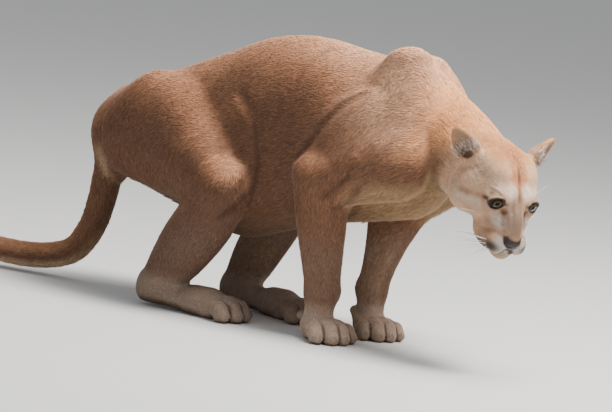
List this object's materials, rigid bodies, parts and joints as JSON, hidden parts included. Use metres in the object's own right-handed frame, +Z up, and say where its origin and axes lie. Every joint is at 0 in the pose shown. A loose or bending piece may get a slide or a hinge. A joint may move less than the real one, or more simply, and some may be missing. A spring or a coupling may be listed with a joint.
{
  "type": "cougar",
  "caption": "Life-size still model of a wild cougar crouching on stiff forelegs, hindquarters low, head lowered and turned to one side, long tail hanging and curved back over the floor.",
  "frame": {"origin": "centre of the bounding box at the floor", "axes": "+X forwards along the body, +Y to the animal's left, +Z up"},
  "size_m": [1.4182, 0.3526, 0.5717],
  "materials": {
    "coat_back": "short dense hair, tawny brown, grizzled with dark tips",
    "coat_flank": "short hair, tan, paler towards belly and inside of the legs",
    "coat_tail": "denser hair, tawny with a darker tip",
    "coat_head": "very short hair, grey tan, white muzzle and chin, dark whisker pads",
    "coat_ear": "very short dark hair behind, pale hair inside",
    "coat_foot": "very short hair, grey tan, dark flecks on the toes",
    "nose_leather": "bare dark brown leather, finely pebbled, slightly moist",
    "eye": "wet gloss, amber olive iris with a round black pupil"
  },
  "bodies": {
    "root": {"neck": "coat_back", "chest": "coat_back", "loin": "coat_back", "rump": "coat_back", "shoulder_L": "coat_flank", "shoulder_R": "coat_flank", "thigh_L": "coat_flank", "thigh_R": "coat_flank", "foreleg_L": "coat_flank", "foreleg_R": "coat_flank", "lower_leg_L": "coat_flank", "lower_leg_R": "coat_flank", "tail_base": "coat_tail", "tail_middle": "coat_tail", "tail_tip": "coat_tail", "head": "coat_head", "ear_L": "coat_ear", "ear_R": "coat_ear", "forefoot_L": "coat_foot", "forefoot_R": "coat_foot", "hindfoot_L": "coat_foot", "hindfoot_R": "coat_foot", "nose": "nose_leather", "eye_L": "eye", "eye_R": "eye"}
  },
  "joints": []
}
